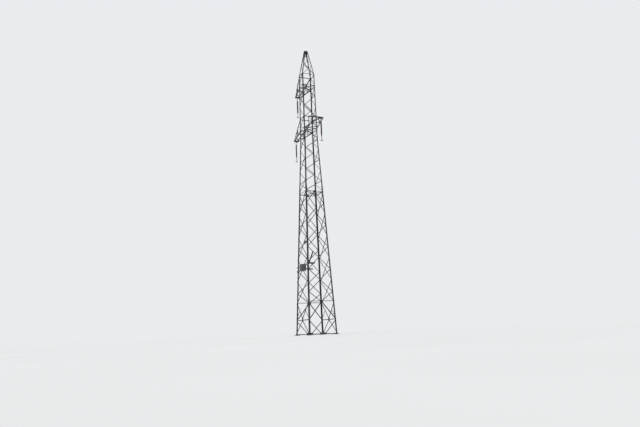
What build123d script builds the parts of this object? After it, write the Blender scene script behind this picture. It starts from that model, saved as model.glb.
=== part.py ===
from build123d import *
import math
import os

# Single-circuit lattice transmission pylon: angle-steel legs and bracing,
# two lower cross-arms at one level, one upper cross-arm, a peak with a small
# head, and three suspension insulator strings.  Millimetres, +Z up.
# X runs across the arms, Y runs along them.  The tower's axis stands
# at (AXIS_X, AXIS_Y), and the origin is the centre of the underside of the
# base plate of leg 1.

# ---------------------------------------------------------------- dimensions
# heights above the underside of the base plates
PLATE_T = 25.0           # base plate thickness
Z_CROSS = 1240.0         # rail of the left and right bottom panels
Z_BELT1 = 2720.0         # lower belt, front and back
Z_BELT2 = 12190.0        # upper belt, all round
# levels where the crossed panels meet on the legs
NODES_LR = [2640.0, 4480.0, 6375.0, 8245.0, 10210.0, 12100.0]     # left and right
NODES_FB = [3495.0, 5395.0, 7295.0, 9225.0, 11130.0]              # front and back
Z_SPLICE = 12700.0       # the legs change section here
# zigzag levels from the upper belt to the top of the head
LEVELS = [Z_BELT2, 13174.0, 14165.0, 15165.0, 16165.0, 17150.0,
          18100.0, 19180.0, 20215.0, 21250.0, 22285.0, 23410.0]
Z_WAIST = LEVELS[5]
Z_ARM_LOW = LEVELS[6]    # bottom chords of the lower arms
Z_ARM_LOW_TOP = LEVELS[7]
Z_ARM_UP = LEVELS[10]    # bottom chords of the upper arm
Z_HEAD = LEVELS[11]      # top of the head, root of the peak
Z_PEAK = 25620.0         # top of the peak legs
Z_TOP = 25820.0          # top of the head on the peak

# half widths of the body, measured to the heels of the leg angles
HX = [(0.0, 1240.0), (Z_WAIST, 632.0), (Z_HEAD, 585.0), (Z_PEAK, 170.0)]
HY = [(0.0, 1522.0), (Z_WAIST, 542.0), (Z_HEAD, 450.0), (Z_PEAK, 165.0)]

# leg angles: flange width and thickness
LEG_LOW = (120.0, 12.0)
LEG_UP = (100.0, 10.0)
LEG_HEAD = (90.0, 8.0)
LEG_PEAK = (70.0, 6.0)
# bracing angles
BR_BOT = (65.0, 6.0)
BR_LOW = (60.0, 6.0)
BR_TIE = (45.0, 5.0)
BR_UP = (50.0, 5.0)
BR_HEAD = (50.0, 5.0)
BR_PEAK = (40.0, 5.0)
BELT = (50.0, 5.0)
OFF = 90.0               # distance of a diagonal's end from a belt on its leg
END = 30.0               # run-out of a bar past its bolt
END_HEAD = 20.0          # the same on the narrower angles of the head
END_PEAK = 8.0

# cross-arms: reach from the tower's axis to the insulator hanger
REACH_UP = 2580.0        # upper arm, +Y side
REACH_LOW_NEAR = 2900.0  # lower arm, -Y side
REACH_LOW_FAR = 3300.0   # lower arm, +Y side
TIP_HALF = 200.0         # half length of the arm's end bar
CHORD = (70.0, 7.0)
ARM_BR = (45.0, 5.0)

# insulator strings: one long-rod unit each
ROD_LEN = 1270.0         # cap to cap
CAP_LEN, CAP_R = 88.0, 52.0
CORE_R, SHED_R = 39.0, 76.0
N_SHED = 21
HANG_DROP = 60.0         # hanger bolt below the arm's end bar
CROSS_DROP = 138.0       # second pin of the shackle below the first
ROD_TOP = 205.0          # top of the insulator's upper cap below the hanger bolt
WIRE_DROP = 1900.0       # axis of the suspension clamp's bore below the hanger bolt
WIRE_R = 11.0            # nominal radius of that bore, made 0.5 larger
EARTH_R = 6.0            # nominal radius of the peak clamp's bore, made 0.3 larger

# base plates
FOOT = 400.0
FOOT_IN = 60.0           # plate centre, inward from the heel of the leg
ANCHOR_PITCH = 280.0
ANCHOR_R = 16.0

AXIS_X = HX[0][1] - FOOT_IN
AXIS_Y = HY[0][1] - FOOT_IN

os.makedirs("parts", exist_ok=True)


# ------------------------------------------------------------------- helpers
def lin(table, z):
    for (za, a), (zb, b) in zip(table, table[1:]):
        if z <= zb or (zb, b) == table[-1]:
            return a + (b - a) * (z - za) / (zb - za)


def hx(z):
    return lin(HX, z)


def hy(z):
    return lin(HY, z)


def V(*a):
    return Vector(*a)


def prism(points, vec):
    """Closed polygon of 3-D points, pushed along vec."""
    return Solid.extrude(Face(Wire.make_polygon(points, close=True)), vec)


def box(x0, x1, y0, y1, z0, z1):
    return prism([V(x0, y0, z0), V(x1, y0, z0), V(x1, y1, z0), V(x0, y1, z0)], V(0, 0, z1 - z0))


def fuse(*solids):
    first, rest = solids[0], list(solids[1:])
    if not rest:
        return [first]
    got = first.fuse(*rest)
    return list(got.solids())


def cyl(p, q, r):
    """Solid cylinder from p to q."""
    d = q - p
    return Solid.make_cylinder(r, d.length, Plane(origin=p, z_dir=d.normalized()))


def l_points(o, u, v, w, t):
    """Angle section with its heel at o and flanges along u and v."""
    return [o, o + u * w, o + u * w + v * t, o + u * t + v * t, o + u * t + v * w, o + v * w]


SHIFT = V(AXIS_X, AXIS_Y, 0)
made = {}


def export(name, solids):
    moved = [s.moved(Location(SHIFT)) for s in solids]
    shape = moved[0] if len(moved) == 1 else Compound(children=moved)
    export_step(shape, f"parts/{name}.step")
    made[name] = moved


# ---------------------------------------------------------------- face frame
class Side:
    """One tapering flat side of the body between two levels.

    s runs to the right as seen from outside, n is the outward normal, and the
    plane n = 0 holds the outer faces of the leg flanges."""

    def __init__(self, es, eo, half, dist, za, zb):
        self.es, self.eo, self.half, self.dist = es, eo, half, dist
        # a plane through both ends of this stretch of leg
        self.za, self.zb = za, zb
        self.da, self.db = dist(za), dist(zb)
        k = (self.da - self.db) / (zb - za)
        c = math.sqrt(1 + k * k)
        self.n = (eo + V(0, 0, k)) * (1 / c)
        self.up = (V(0, 0, 1) - eo * k) * (1 / c)
        self.cos = 1 / c

    def at(self, s, z, n=0.0):
        d = self.da + (self.db - self.da) * (z - self.za) / (self.zb - self.za)
        return self.es * s + self.eo * d + V(0, 0, z) + self.n * n

    def bar(self, a, b, side, size, t_leg, ext=END, flip=False, ext_b=None):
        """Angle bar from a to b, each (s, z), flat on the outside or inside
        of the leg flanges."""
        w, t = size
        p, q = self.at(*a), self.at(*b)
        d = (q - p).normalized()
        p = p - d * ext
        q = q + d * (ext if ext_b is None else ext_b)
        wd = self.n.cross(d).normalized()
        if flip:
            wd = wd * -1
        if side == "out":
            base, nd = 0.0, self.n
        else:
            base, nd = -t_leg * self.cos, self.n * -1
        o = p + self.n * base - wd * (w / 2)
        return prism(l_points(o, wd, nd, w, t), q - p)

    def plate(self, s, z, ws, wz, t_leg, dz=0.0):
        """Packing or gusset plate that fills the thickness of the leg flange."""
        o = self.at(s, z) + self.up * dz
        e, u, back = self.es * (ws / 2), self.up * (wz / 2), self.n * (-t_leg * self.cos)
        return prism([o - e - u, o + e - u, o + e + u, o - e + u], back)

    def cross(self, a, b, c, d):
        """Point (s, z) where line a-b meets line c-d."""
        x1, y1, x2, y2 = *a, *b
        x3, y3, x4, y4 = *c, *d
        den = (x1 - x2) * (y3 - y4) - (y1 - y2) * (x3 - x4)
        px = ((x1 * y2 - y1 * x2) * (x3 - x4) - (x1 - x2) * (x3 * y4 - y3 * x4)) / den
        py = ((x1 * y2 - y1 * x2) * (y3 - y4) - (y1 - y2) * (x3 * y4 - y3 * x4)) / den
        return px, py


EX, EY, EZ = V(1, 0, 0), V(0, 1, 0), V(0, 0, 1)
FACES = {
    "front": (EX, EY * -1, hx, hy),
    "right": (EY, EX, hy, hx),
    "back": (EX * -1, EY, hx, hy),
    "left": (EY * -1, EX * -1, hy, hx),
}


def side(name, za, zb):
    return Side(*FACES[name], za, zb)


# ---------------------------------------------------------------------- legs
CORNERS = {"1": (-1, -1), "2": (1, -1), "3": (1, 1), "4": (-1, 1)}


def leg(corner, za, zb, size):
    sx, sy = CORNERS[corner]
    b, t = size
    p = V(sx * hx(za), sy * hy(za), za)
    q = V(sx * hx(zb), sy * hy(zb), zb)
    return prism(l_points(p, V(-sx, 0, 0), V(0, -sy, 0), b, t), q - p)


export("lower_legs", [leg(c, PLATE_T, Z_SPLICE, LEG_LOW) for c in CORNERS])
export("upper_legs", [leg(c, Z_SPLICE, Z_WAIST, LEG_UP) for c in CORNERS])
export("head_legs", [leg(c, Z_WAIST, Z_HEAD, LEG_HEAD) for c in CORNERS])
export("peak_legs", [leg(c, Z_HEAD, Z_PEAK, LEG_PEAK) for c in CORNERS])

# ---------------------------------------------------------------- base plates
base_plates = []
for c, (sx, sy) in CORNERS.items():
    cx, cy = sx * (hx(0) - FOOT_IN), sy * (hy(0) - FOOT_IN)
    h = FOOT / 2
    plate = box(cx - h, cx + h, cy - h, cy + h, 0, PLATE_T)
    for ax in (-1, 1):
        for ay in (-1, 1):
            x, y = cx + ax * ANCHOR_PITCH / 2, cy + ay * ANCHOR_PITCH / 2
            plate = plate - cyl(V(x, y, -5), V(x, y, PLATE_T + 5), ANCHOR_R)
    # one stiffener rib outside the leg, on the side where the bracing lies inside
    hx0, hy0 = hx(PLATE_T), hy(PLATE_T)
    kx = (hx(PLATE_T) - hx(200)) / 175.0
    ky = (hy(PLATE_T) - hy(200)) / 175.0
    if sx * sy < 0:
        rx = sx * (hx0 - 60)
        ribs = [prism([V(rx, sy * hy0, PLATE_T), V(rx, sy * (hy0 + 120), PLATE_T),
                       V(rx, sy * (hy0 + 120), PLATE_T + 30), V(rx, sy * (hy0 - ky * 175), PLATE_T + 175)],
                      V(-sx * 12, 0, 0))]
    else:
        ry = sy * (hy0 - 60)
        ribs = [prism([V(sx * hx0, ry, PLATE_T), V(sx * (hx0 + 120), ry, PLATE_T),
                       V(sx * (hx0 + 120), ry, PLATE_T + 30), V(sx * (hx0 - kx * 175), ry, PLATE_T + 175)],
                      V(0, -sy * 12, 0))]
    plate = plate.solids()[0] if hasattr(plate, "solids") else plate
    base_plates += fuse(plate, *ribs)
export("base_plates", base_plates)

# ------------------------------------------------- lower bracing, base to belt
G_LOW = 62.0             # bolt line from the heel of a lower leg
G_UP = 52.0
G_HEAD = 48.0
G_PEAK = 40.0


def x_panel(f, za, zb, size, leg_size, gauge, high=False, da=0.0, db=0.0):
    """One crossed panel: two bars, one each side of the leg flanges, packed
    apart where they cross.  high puts their heels on the upper edge."""
    t = leg_size[1]
    sa, sb = f.half(za) - gauge, f.half(zb) - gauge
    a, b = (-sa, za + da), (sb, zb - db)
    c, d = (sa, za + da), (-sb, zb - db)
    x = f.cross(a, b, c, d)
    return fuse(f.bar(a, b, "out", size, t, flip=high), f.bar(c, d, "in", size, t, flip=not high),
                f.plate(*x, 64, 64, t))


def belt_bar(f, z, size, inset=12.0):
    s = f.half(z) - inset
    return f.bar((-s, z), (s, z), "out", size, 0, ext=0)


def foot_panel_side(f):
    """Left and right: members fall from the legs to the middle of a cross
    rail, and from there to the feet."""
    t = LEG_LOW[1]
    zt, zf, zr = 2590.0, 115.0, 1400.0
    st, sf = f.half(zt) - G_LOW, f.half(zf) - G_LOW
    sc = f.half(Z_CROSS) - 12
    m = ((45 + st) / 2, (Z_CROSS + 105 + zt) / 2)
    sr = f.half(zr) - G_LOW
    return fuse(
        f.bar((-sc, Z_CROSS), (sc, Z_CROSS), "out", BR_BOT, t, ext=0),
        f.plate(0, Z_CROSS, 260, 320, t),
        # above the rail
        f.bar((45, Z_CROSS + 105), (st, zt), "out", BR_BOT, t),
        f.bar((-45, Z_CROSS + 105), (-st, zt), "in", BR_BOT, t, flip=True),
        # short ties from their middles down to the legs
        f.bar((sr, zr), m, "in", BR_TIE, t, ext=20, flip=True),
        f.bar((-sr, zr), (-m[0], m[1]), "out", BR_TIE, t, ext=20),
        f.plate(*m, 70, 70, t), f.plate(-m[0], m[1], 70, 70, t),
        # below the rail
        f.bar((-sf, zf), (-45, Z_CROSS - 95), "out", BR_BOT, t),
        f.bar((sf, zf), (45, Z_CROSS - 95), "in", BR_BOT, t, flip=True))


def foot_panel_front(f):
    """Front and back: members fall from the belt's middle to the legs, and
    from there to the middle of a base rail."""
    t = LEG_LOW[1]
    s1, s2 = f.half(1280) - G_LOW, f.half(1135) - G_LOW
    sb = f.half(75)
    return [f.bar((-s1, 1280), (-40, 2610), "in", BR_BOT, t, flip=True),
            f.bar((s1, 1280), (40, 2610), "out", BR_BOT, t),
            ], [
            f.bar((-s2, 1135), (-226, 145), "out", BR_BOT, t),
            f.bar((s2, 1135), (226, 145), "in", BR_BOT, t, flip=True),
            f.plate(0, 112, 560, 165, t),
            # base rail, inside the leg flanges
            f.bar((-(sb - 80), 75), (sb - 17, 75), "in", BR_BOT, t, ext=0, flip=True)]


def lower_bracing(name):
    f = side(name, 0.0, Z_WAIST)
    t = LEG_LOW[1]
    high = name in ("front", "back")
    nodes = NODES_FB if high else NODES_LR
    out = []
    for za, zb in zip(nodes, nodes[1:]):
        out += x_panel(f, za, zb, BR_LOW, LEG_LOW, G_LOW, high)
    if not high:
        out += foot_panel_side(f) + [belt_bar(f, Z_BELT2, BELT)]
    else:
        # half a panel out of step with the neighbouring sides
        upper, lower = foot_panel_front(f)
        out += fuse(*lower)
        za, zt = nodes[0], nodes[-1]
        sa, st = f.half(za) - G_LOW, f.half(zt) - G_LOW
        out += fuse(belt_bar(f, Z_BELT1, BELT), f.plate(0, Z_BELT1 - 50, 280, 270, t), *upper,
                    f.bar((80, Z_BELT1 + 20), (sa, za), "out", BR_LOW, t, flip=True),
                    f.bar((-80, Z_BELT1 + 20), (-sa, za), "in", BR_LOW, t))
        out += fuse(belt_bar(f, Z_BELT2, BELT), f.plate(0, Z_BELT2, 270, 200, t, -45),
                    f.bar((-st, zt), (-85, Z_BELT2 - 95), "out", BR_LOW, t, flip=True),
                    f.bar((st, zt), (85, Z_BELT2 - 95), "in", BR_LOW, t))
    return out


for name in FACES:
    export(f"{name}_lower_bracing", lower_bracing(name))


# --------------------------------------------------------- zigzag, belt to head
def zigzag(f, levels, first, gauge, size, leg_size, belts, ext=END, skip=(), high=False):
    """Single diagonals that climb from the left leg to the right and back.
    first is the index of levels[0]: even levels sit on the left leg.  high
    puts their heels on the upper edge."""
    t = leg_size[1]
    out = []
    for i in range(len(levels) - 1):
        k = first + i
        if k in skip:
            continue
        za, zb = levels[i], levels[i + 1]
        za += OFF if k in belts else 0
        zb -= OFF if k + 1 in belts else 0
        sa, sb = f.half(za) - gauge, f.half(zb) - gauge
        if k % 2 == 0:
            out.append(f.bar((-sa, za), (sb, zb), "out", size, t, ext=ext, flip=high))
        else:
            out.append(f.bar((sa, za), (-sb, zb), "in", size, t, ext=ext, flip=not high))
    return out


for name in FACES:
    f = side(name, 0.0, Z_WAIST)
    export(f"{name}_upper_bracing", zigzag(f, LEVELS[:6], 0, G_UP, BR_UP, LEG_UP, {0, 5},
                                            high=name in ("front", "back")))

ARM_CLEAT = 8.0          # end plates of the arms' chords, on the legs


def head_belt(f, z, arm_side):
    """Cross rail of the head, inside the legs where an arm's chords land."""
    s = f.half(z) - 13
    if arm_side:
        return [f.bar((-s, z), (s, z), "in", BR_HEAD, LEG_HEAD[1], ext=0, flip=True)]
    return [f.bar((-s, z), (s, z), "out", BR_HEAD, 0, ext=0)]


for name in FACES:
    f = side(name, Z_WAIST, Z_HEAD)
    # the bays where the arms' chords land have no diagonal on the arms' sides
    skip = {6, 10} if name in ("front", "back") else ()
    out = zigzag(f, LEVELS[5:], 5, G_HEAD, BR_HEAD, LEG_HEAD, {5, 6, 7, 10, 11}, END_HEAD, skip)
    low = name in ("front", "back")
    up = name == "back"
    if not low:
        out += head_belt(f, Z_WAIST + 35, False)
    out += head_belt(f, Z_ARM_LOW, low)
    out += head_belt(f, Z_ARM_LOW_TOP, low)
    out += head_belt(f, Z_ARM_UP, up)
    out += head_belt(f, Z_HEAD - 45, up)
    export(f"{name}_head_bracing", out)


# ---------------------------------------------------------------- plan bracing
def plan(z, leg_size, size, plate=150.0, start=80.0):
    """Corner plates inside the legs, with two crossed bars between them."""
    t = leg_size[1]
    solids = []
    for c, (sx, sy) in CORNERS.items():
        x, y = sx * (hx(z) - t), sy * (hy(z) - t)
        pts = [V(x, y, z), V(x - sx * plate, y, z), V(x - sx * plate, y - sy * 55, z),
               V(x - sx * 55, y - sy * plate, z), V(x, y - sy * plate, z)]
        dz = 8.0
        vec = V(sx * (hx(z + dz) - hx(z)), sy * (hy(z + dz) - hy(z)), dz)
        solids.append(prism(pts, vec))
    w, tb = size
    for (c1, c2), zb, sg in ((("1", "3"), z + 8.0, 1), (("2", "4"), z, -1)):
        pa = V(CORNERS[c1][0] * (hx(z) - start), CORNERS[c1][1] * (hy(z) - start), zb)
        pb = V(CORNERS[c2][0] * (hx(z) - start), CORNERS[c2][1] * (hy(z) - start), zb)
        d = (pb - pa).normalized()
        wd = EZ.cross(d).normalized()
        solids.append(prism(l_points(pa - wd * (w / 2), wd, EZ * sg, w, tb), pb - pa))
    solids.append(box(-32, 32, -32, 32, z, z + 8.0))
    return fuse(*solids)


export("plan_bracing", plan(Z_BELT2 - 28, LEG_LOW, (45.0, 5.0), 130.0)
       + plan(Z_ARM_LOW + 30, LEG_HEAD, (45.0, 5.0), 140.0, 82.0)
       + plan(Z_ARM_UP + 30, LEG_HEAD, (45.0, 5.0), 140.0, 82.0))

# ------------------------------------------------------------------------ peak
Z_P2 = 24970.0
peak = []
for name in FACES:
    f = side(name, Z_HEAD, Z_PEAK)
    z_p1 = 24340.0 if name in ("front", "back") else 24500.0
    peak += zigzag(f, [Z_HEAD, z_p1, Z_P2], 11, G_PEAK, BR_PEAK, LEG_PEAK, {11}, END_PEAK)
# stiffening plates on the front and back, beside each leg below the top
for name in ("front", "back"):
    f = side(name, Z_HEAD, Z_PEAK)
    za, zb = Z_PEAK - 560, Z_PEAK - 12
    for sg in (-1, 1):
        sa, sb = f.half(za) - 4, f.half(zb) - 4
        peak.append(prism([f.at(sg * sa, za), f.at(sg * (sa - 92), za), f.at(sg * (sb - 92), zb),
                           f.at(sg * sb, zb)], f.n * 8))
export("peak_bracing", peak)

# head of the peak: seat plate on the peak legs, and a box of plates that is
# open at both ends, with two webs that carry a cross pin
PIN_Z = Z_PEAK + 110.0
zs, zl = Z_PEAK + 12, Z_TOP - 8
seat = box(-190, 190, -185, 185, Z_PEAK, zs) - box(-66, 66, -125, 125, Z_PEAK - 5, zs + 5)
seat = seat.solids()[0]
cheeks = [box(-158, 158, -151, 151, zl, Z_TOP)]
for sg in (-1, 1):
    cheeks.append(box(*sorted((sg * 78, sg * 88)), -145, 145, zs, zl))
    cheeks.append(box(-152, 152, *sorted((sg * 137, sg * 145)), zs, zl))
pin = cyl(V(-100, 0, PIN_Z), V(100, 0, PIN_Z), 12)
export("earth_wire_head", fuse(seat, *cheeks, pin))


# ------------------------------------------------------------------ cross-arms
def lbar(p, q, flat, out, size, ext=22.0):
    """Angle bar from p to q.  Its first flange lies on a joint plane through
    the line, flat being that plane's normal on the bar's side."""
    w, t = size
    d = (q - p).normalized()
    p, q = p - d * ext, q + d * ext
    wd = flat.cross(d).normalized() * out
    return prism(l_points(p - wd * (w / 2), wd, flat, w, t), q - p)


def arm_nodes(tag, face_name, z_low, z_top, reach):
    """Two level bottom chords, two sloping top chords, end plates on the legs,
    bracing, and a short channel across the tip with the hanger plate."""
    f = side(face_name, Z_WAIST, Z_HEAD)
    es, eo, up, n = f.es, f.eo, f.up, f.n
    w, t = CHORD
    z0, z1 = z_low - w / 2, z_top + w / 2
    # the channel's inner face is a plane parallel to the body's side
    tip_n = (reach - 31.0 - f.at(0, z0, ARM_CLEAT).dot(eo)) * n.dot(eo)
    half_root = f.half(z_top) - 12
    ends, lows, tops = {}, [], []
    for sg in (-1, 1):
        a = f.at(sg * half_root, z0, ARM_CLEAT)
        b = f.at(sg * TIP_HALF, z0, ARM_CLEAT + tip_n)
        b = b - up * ((b.Z - a.Z) / up.Z)
        c = f.at(sg * half_root, z1, ARM_CLEAT)
        d = b + up * (2 * w + 8)
        ends[sg] = (a, b, c, d)
        for o, q, v, got in ((a, b, up, lows), (c, d, up * -1, tops)):
            chord = prism(l_points(o, es * -sg, v, w, t), q - o)
            e0, e1 = es * -sg * (w + 6), es * sg * 6
            u0, u1 = v * -6, v * (w + 6)
            plate = prism([o + e1 + u0, o + e0 + u0, o + e0 + u1, o + e1 + u1], n * -ARM_CLEAT)
            got += fuse(chord, plate)
    # end channel, open outwards
    b = ends[1][1]
    half = TIP_HALF + 30
    base = b - es * b.dot(es) - up * 6
    h, fl, th = 2 * w + 20, 62.0, 9.0
    sec = [base, base + n * fl, base + n * fl + up * th, base + n * th + up * th,
           base + n * th + up * (h - th), base + n * fl + up * (h - th), base + n * fl + up * h, base + up * h]
    chan = prism([p - es * half for p in sec], es * (2 * half))
    # hanger plate below the channel, with the shackle bolt's hole
    top = base + n * 31
    hang = V(top.X, top.Y, top.Z - HANG_DROP)
    x0 = es * -7
    hanger = prism([top - n * 28 + x0, top + n * 28 + x0, hang + eo * 26 + x0, hang + eo * 14 - EZ * 24 + x0,
                    hang - eo * 14 - EZ * 24 + x0, hang - eo * 26 + x0], es * 14)
    hanger = (hanger - cyl(hang - es * 20, hang + es * 20, 12.0)).solids()[0]
    tip = fuse(chan, hanger)

    def low(sg, k):
        a, b = ends[sg][:2]
        return a + (b - a) * k

    def high(sg, k):
        c, d = ends[sg][2:]
        return c + (d - c) * k

    bars = []
    # zigzag between the bottom chords, in turn under and over their flanges
    ks = [0.05, 0.28, 0.50, 0.71, 0.90]
    for i in range(len(ks) - 1):
        sa = -1 if i % 2 == 0 else 1
        m = 38.0 if i % 2 == 0 else 46.0
        p = low(sa, ks[i]) - es * (sa * m)
        q = low(-sa, ks[i + 1]) + es * (sa * m)
        if i % 2 == 0:
            bars.append(lbar(p, q, EZ * -1, 1, ARM_BR, ext=20))
        else:
            lift = EZ * (t * up.Z)
            bars.append(lbar(p + lift, q + lift, EZ, 1, ARM_BR, ext=10))
    # webs: posts outside the upright flanges, one diagonal inside them
    for sg in (-1, 1):
        a, b, c, d = ends[sg]
        outn = (b - a).cross(up).normalized()
        if outn.dot(es) * sg < 0:
            outn = outn * -1
        for k in (0.34, 0.62):
            bars.append(lbar(low(sg, k) + up * 35, high(sg, k) - up * 35, outn, sg, ARM_BR, ext=24))
        inside = es * (-sg * t)
        p = high(sg, 0.37) - up * 42 + inside
        q = low(sg, 0.58) + up * 42 + inside
        bars.append(lbar(p, q, outn * -1, sg, ARM_BR, ext=6))
    # ties on top of the top chords
    flat = es.cross(ends[1][3] - ends[1][2]).normalized()
    flat = flat if flat.Z > 0 else flat * -1
    for k in (0.34, 0.62):
        bars.append(lbar(high(-1, k) + es * 34, high(1, k) - es * 34, flat, 1, ARM_BR, ext=12))
    export(f"{tag}_chords", lows + tops)
    export(f"{tag}_bracing", bars)
    export(f"{tag}_end_bar", tip)
    return hang


HANG = {
    "upper_arm": arm_nodes("upper_arm", "back", Z_ARM_UP, Z_HEAD - 50, REACH_UP),
    "near_arm": arm_nodes("near_arm", "front", Z_ARM_LOW, Z_ARM_LOW_TOP, REACH_LOW_NEAR),
    "far_arm": arm_nodes("far_arm", "back", Z_ARM_LOW, Z_ARM_LOW_TOP, REACH_LOW_FAR),
}


# ------------------------------------------------------------ insulator strings
def ring(profile, c):
    """Profile of (radius, height) points turned about the vertical through c."""
    pts = [V(r, 0, z) for r, z in profile]
    face = Face(Wire.make_polygon(pts, close=True))
    s = Solid.revolve(face, 360, Axis.Z)
    return s.moved(Location(c))


def string_nodes(tag, c):
    """Shackle on the hanger's bolt, then clevis, long-rod insulator and
    suspension clamp."""
    x, y = c.X, c.Y

    def at(dx, dy, dz):
        return V(x + dx, y + dy, c.Z + dz)

    def blk(x0, x1, y0, y1, z0, z1):
        return box(x + x0, x + x1, y + y0, y + y1, c.Z + z0, c.Z + z1)

    # shackle: bolt along X through the hanger, tongue below with a bore along Y
    parts = [cyl(at(-36, 0, 0), at(36, 0, 0), 11.0), blk(-22, -12, -20, 20, -90, 20), blk(12, 22, -20, 20, -90, 20),
             blk(-22, 22, -20, 20, -102, -84), blk(-22, 22, -7, 7, -(CROSS_DROP + 22), -100)]
    shackle = fuse(*parts)[0]
    shackle = (shackle - cyl(at(0, -20, -CROSS_DROP), at(0, 20, -CROSS_DROP), 12.0)).solids()[0]
    export(f"{tag}_shackle", [shackle])
    # clevis on the second pin
    zc = -CROSS_DROP
    solids = [cyl(at(0, -36, zc), at(0, 36, zc), 11.0), blk(-20, 20, -22, -12, zc - 54, zc + 20),
              blk(-20, 20, 12, 22, zc - 54, zc + 20), blk(-20, 20, -22, 22, zc - 62, zc - 46),
              cyl(at(0, 0, -ROD_TOP - 4), at(0, 0, zc - 60), 16.0)]
    # upper and lower cap, with the porcelain between their end faces
    zt, zl = -ROD_TOP, -ROD_TOP - ROD_LEN
    solids.append(cyl(at(0, 0, zt - CAP_LEN), at(0, 0, zt), CAP_R))
    lower = [cyl(at(0, 0, zl), at(0, 0, zl + CAP_LEN), CAP_R)]
    z1, z2 = zt - CAP_LEN, zl + CAP_LEN
    pitch = (z1 - z2) / N_SHED
    prof = [(0.0, z1), (CORE_R, z1)]
    for i in range(N_SHED):
        top = z1 - i * pitch
        prof += [(CORE_R, top - 9), (SHED_R - 4, top - 26), (SHED_R, top - 29), (SHED_R - 1, top - 33),
                 (SHED_R - 7, top - 34), (CORE_R + 3, top - 31), (CORE_R, top - 36)]
    prof += [(CORE_R, z2), (0.0, z2)]
    rod = ring(prof, at(0, 0, 0))
    zw = -WIRE_DROP
    lower.append(cyl(at(0, 0, zl - 60), at(0, 0, zl + 5), 14.0))
    lower.append(blk(-9, 9, -34, 34, zw + 40, zl - 50))
    # suspension clamp: boat and keeper with a round bore between them
    prof = [(-150, 14), (-150, -17), (-60, -30), (60, -30), (150, -17), (150, 14), (60, 50), (-60, 50)]
    lower.append(prism([at(px, -28, zw + pz) for px, pz in prof], V(0, 56, 0)))
    foot = fuse(*lower)[0] - cyl(at(-160, 0, zw), at(160, 0, zw), WIRE_R + 0.5)
    export(f"{tag}_fittings", fuse(*solids) + list(foot.solids()))
    export(f"{tag}_insulator", [rod])
    return c.Z + zw


for tag, key in (("string_1", "upper_arm"), ("string_2", "near_arm"), ("string_3", "far_arm")):
    zw = string_nodes(tag, HANG[key])
    print(tag, "pivot", [round(v, 2) for v in (HANG[key] + SHIFT)], "wire level", round(zw, 1))

# clamp of the peak: flat link with an eye round the cross pin, through the seat plate
EARTH_Z = PIN_Z - 420.0
strap = box(-8, 8, -24, 24, EARTH_Z + 15, PIN_Z + 26)
strap = (strap - cyl(V(-40, 0, PIN_Z), V(40, 0, PIN_Z), 12.6)).solids()[0]
prof = [(-90, 10), (-90, -11), (-38, -22), (38, -22), (90, -11), (90, 10), (38, 32), (-38, 32)]
boat = prism([V(px, -22, EARTH_Z + pz) for px, pz in prof], V(0, 44, 0))
hung = fuse(strap, boat)[0] - cyl(V(-100, 0, EARTH_Z), V(100, 0, EARTH_Z), EARTH_R + 0.3)
export("earth_wire_clamp", list(hung.solids()))

# --------------------------------------------------- box and panel on the body
BOX_Z = 5500.0
BOX_W, BOX_H, BOX_D, WALL = 600.0, 540.0, 370.0, 3.0
f = side("left", 0.0, Z_WAIST)
# two rails across the left side, clear of the bracing, on packers at the legs
RAIL_N = 68.0


def uneven(o, up, n, tall, deep, t):
    """Outline of an angle of unequal legs, tall along up and deep along n."""
    return [o, o + n * deep, o + n * deep + up * t, o + n * t + up * t, o + n * t + up * tall, o + up * tall]


rails = []
for z, tall, t in ((BOX_Z - 160, 110, 8), (BOX_Z + 190, 65, 6)):
    s0, s1 = -(f.half(z) - 8), f.half(z) - 8
    rail = prism(uneven(f.at(s0, z, RAIL_N), f.up, f.n, tall, 50, t), f.es * (s1 - s0))
    feet = []
    for sg in (-1, 1):
        o = f.at(sg * (f.half(z) - 60), z)
        e = f.es * 42
        feet.append(prism([o - e, o + e, o + e + f.up * 50, o - e + f.up * 50], f.n * RAIL_N))
    rails += fuse(rail, *feet)
# two shorter brackets of a larger angle round the corner, on the front
g = side("front", 0.0, Z_WAIST)
for z, long, tall in ((BOX_Z - 200, 430.0, 110), (BOX_Z + 290, 620.0, 130)):
    s0 = -(g.half(z) - 8)
    rail = prism(uneven(g.at(s0, z, RAIL_N), g.up, g.n, tall, 80, 8), g.es * long)
    o = g.at(-(g.half(z) - 60), z)
    e = g.es * 42
    rails += fuse(rail, prism([o - e, o + e, o + e + g.up * 50, o - e + g.up * 50], g.n * RAIL_N))
# flat bracket of the small box, from the flange of leg 1
zj = 7680.0
s1 = f.half(zj) - 8
o = f.at(690.0, zj - 20)
rails.append(prism([o, o + f.es * (s1 - 690), o + f.es * (s1 - 690) + f.up * 50, o + f.up * 50], f.n * 6))
export("box_rails", rails)

# slanted strap on the front, from leg 1 up to the inner diagonal
za, zb = 5887.0, 6855.0
sa = -(g.half(za) - 120)
d0, d1 = NODES_FB[1], NODES_FB[2]
w0, w1 = g.half(d0) - G_LOW, -(g.half(d1) - G_LOW)
sb = w0 + (w1 - w0) * (zb - d0) / (d1 - d0)
p, q = g.at(sa, za), g.at(sb, zb)
d = (q - p).normalized()
wd = g.n.cross(d).normalized() * 55
p, q = p - d * 45, q + d * 45
strap = prism([p - wd, p + wd, q + wd, q - wd], g.n * 6)
export("slanted_strap", fuse(strap, g.plate(sb, zb, 70, 70, LEG_LOW[1])))

# small box on that bracket
JB = (130.0, 260.0, 120.0)
o = f.at(705.0, zj - 130, 6)
e, u, n = f.es * JB[0], f.up * JB[1], f.n * JB[2]
export("junction_box", [prism([o, o + e, o + e + u, o + u], n)])
sc = f.half(BOX_Z) - 345
o = f.at(sc, BOX_Z, RAIL_N + 50) - f.es * (BOX_W / 2) - f.up * (BOX_H / 2)
e, u, n = f.es, f.up, f.n


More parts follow.
